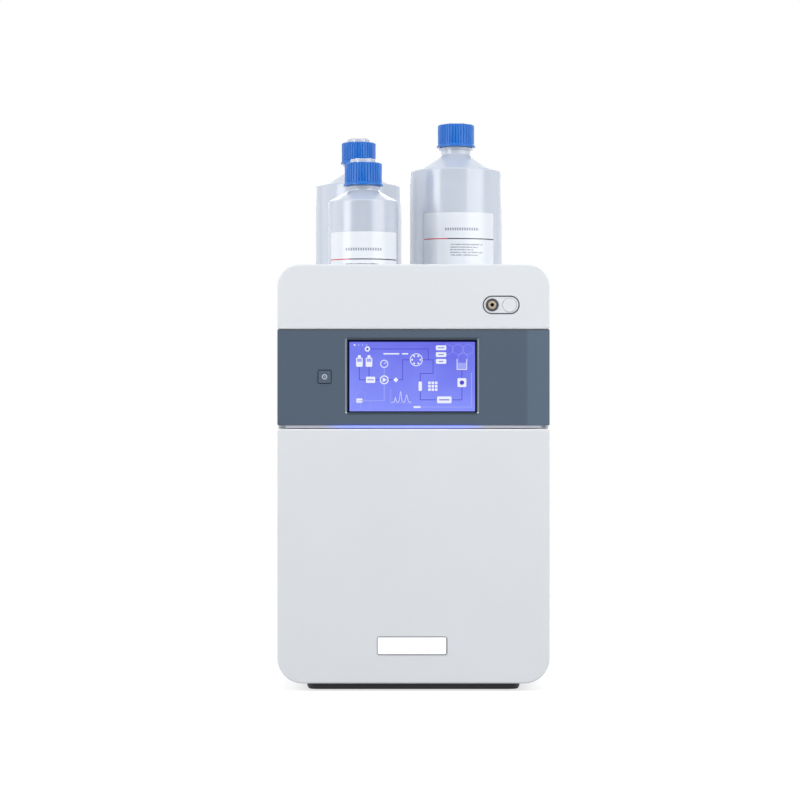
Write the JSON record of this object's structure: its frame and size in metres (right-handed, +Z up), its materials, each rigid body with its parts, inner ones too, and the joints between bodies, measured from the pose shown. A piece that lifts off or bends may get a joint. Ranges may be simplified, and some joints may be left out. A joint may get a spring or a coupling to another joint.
{
  "type": "ion chromatograph",
  "caption": "Bench-top ion chromatograph: white rounded cabinet, display band, hinged door over the flow path, and a top tray with capped eluent bottles.",
  "frame": {"origin": "centre of the whole object's footprint, on the surface under its feet", "axes": "+Z up, +Y from the front to the back, +X to the right seen from the front"},
  "size_m": [0.34, 0.485, 0.7325],
  "materials": {
    "white_shell": "fine-grained moulded white plastic",
    "band_grey": "satin slate-grey panel",
    "frame_grey": "satin grey painted sheet",
    "steel_sheet": "zinc-plated folded sheet",
    "black_plastic": "black moulded plastic",
    "dark_rubber": "soft black rubber",
    "light_bar": "frosted light diffuser",
    "screen_glass": "black-bordered display glass",
    "bezel_metal": "satin metallic bezel",
    "board_green": "solder-masked board",
    "polymer_beige": "machined beige polymer",
    "instrument_grey": "grey instrument plastic",
    "bright_steel": "machined stainless steel",
    "fitting_blue": "blue moulded plastic",
    "cap_blue": "blue moulded polypropylene",
    "bottle_clear": "frosted translucent polypropylene",
    "insert_clear": "translucent natural plastic",
    "label_paper": "coated white paper"
  },
  "bodies": {
    "cabinet": {"rubber_feet": "dark_rubber", "base_plinth": "black_plastic", "chassis_tub": "steel_sheet", "left_cover": "white_shell", "right_cover": "white_shell", "front_frame": "frame_grey", "upper_fascia": "white_shell", "control_band": "band_grey", "light_strip": "light_bar", "display_bezel": "bezel_metal", "display_glass": "screen_glass", "circuit_boards": "board_green", "button_switches": "black_plastic", "port_plate": "white_shell", "needle_port": "polymer_beige", "top_tray": "white_shell", "frame_hinges": "bright_steel", "door_gasket": "dark_rubber", "door_magnets": "black_plastic", "bulkhead": "frame_grey", "mid_shelf": "steel_sheet", "drip_tray": "instrument_grey", "pump_heads": "bright_steel", "check_valves": "bright_steel", "pump_manifold": "polymer_beige", "pump_drive_housing": "instrument_grey", "peristaltic_pump": "instrument_grey", "injection_valve": "instrument_grey", "sample_loop": "polymer_beige", "analytical_column": "polymer_beige", "column_clips": "black_plastic", "suppressor": "fitting_blue", "conductivity_detector": "instrument_grey", "power_supply": "steel_sheet", "rear_panel": "frame_grey", "fan_housing": "black_plastic", "fan_guard": "bright_steel", "power_entry": "black_plastic", "data_ports": "bright_steel", "bottle_labels": "label_paper", "bottle_right": "bottle_clear", "bottle_rear": "bottle_clear", "bottle_front": "bottle_clear"},
    "door": {"door_shell": "white_shell", "door_liner": "steel_sheet", "name_plate": "white_shell", "door_hinges": "bright_steel"},
    "power_button": {"power_button": "band_grey"},
    "inject_button": {"inject_button": "white_shell"},
    "purge_knob": {"purge_knob": "black_plastic"},
    "peristaltic_rotor": {"peristaltic_rotor": "bright_steel"},
    "valve_rotor": {"valve_rotor": "polymer_beige"},
    "fan_impeller": {"fan_impeller": "black_plastic"},
    "rocker": {"rocker": "black_plastic"},
    "cap_right": {"cap_right": "cap_blue"},
    "cap_rear": {"cap_rear": "cap_blue"},
    "cap_front": {"cap_front": "cap_blue"},
    "insert_right": {"insert_right": "insert_clear"},
    "insert_rear": {"insert_rear": "insert_clear"},
    "insert_front": {"insert_front": "insert_clear"}
  },
  "joints": [
    {"name": "door_swing", "type": "hinge", "parent": "cabinet", "child": "door", "pos_m": [-0.1678, -0.215, 0.169], "axis": [0, 0, -1], "range_deg": [0, 105]},
    {"name": "power_button_press", "type": "slide", "parent": "cabinet", "child": "power_button", "axis": [0, 1, 0], "range_m": [0, 0.0015], "stiffness_N_per_m": 400},
    {"name": "inject_button_press", "type": "slide", "parent": "cabinet", "child": "inject_button", "axis": [0, 1, 0], "range_m": [0, 0.0015], "stiffness_N_per_m": 400},
    {"name": "purge_knob_turn", "type": "hinge", "parent": "cabinet", "child": "purge_knob", "pos_m": [-0.096, -0.136, 0.139], "axis": [0, -1, 0], "range_deg": [0, 180]},
    {"name": "peristaltic_spin", "type": "hinge", "parent": "cabinet", "child": "peristaltic_rotor", "pos_m": [-0.096, -0.106, 0.245], "axis": [0, -1, 0], "continuous": true},
    {"name": "valve_turn", "type": "hinge", "parent": "cabinet", "child": "valve_rotor", "pos_m": [0.045, -0.116, 0.245], "axis": [0, 1, 0], "range_deg": [0, 60]},
    {"name": "fan_spin", "type": "hinge", "parent": "cabinet", "child": "fan_impeller", "pos_m": [0.09, 0.22, 0.41], "axis": [0, 1, 0], "continuous": true},
    {"name": "rocker_tilt", "type": "hinge", "parent": "cabinet", "child": "rocker", "pos_m": [-0.105, 0.235, 0.0895], "axis": [1, 0, 0], "range_deg": [0, 14]},
    {"name": "insert_right_lift", "type": "slide", "parent": "cabinet", "child": "insert_right", "axis": [0, 0, 1], "range_m": [0, 0.00612]},
    {"name": "cap_right_turn", "type": "hinge", "parent": "insert_right", "child": "cap_right", "pos_m": [0.057, -0.07, 0.711], "axis": [0, 0, 1], "range_deg": [0, 540]},
    {"name": "insert_rear_lift", "type": "slide", "parent": "cabinet", "child": "insert_rear", "axis": [0, 0, 1], "range_m": [0, 0.00612]},
    {"name": "cap_rear_turn", "type": "hinge", "parent": "insert_rear", "child": "cap_rear", "pos_m": [-0.075, 0.151, 0.711], "axis": [0, 0, 1], "range_deg": [0, 540]},
    {"name": "insert_front_lift", "type": "slide", "parent": "cabinet", "child": "insert_front", "axis": [0, 0, 1], "range_m": [0, 0.00612]},
    {"name": "cap_front_turn", "type": "hinge", "parent": "insert_front", "child": "cap_front", "pos_m": [-0.064, -0.15, 0.653], "axis": [0, 0, 1], "range_deg": [0, 540]}
  ],
  "couplings": [
    {"joint": "insert_right_lift", "follows": "cap_right_turn", "m_per_rad": 0.00063662},
    {"joint": "insert_rear_lift", "follows": "cap_rear_turn", "m_per_rad": 0.00063662},
    {"joint": "insert_front_lift", "follows": "cap_front_turn", "m_per_rad": 0.00063662}
  ]
}
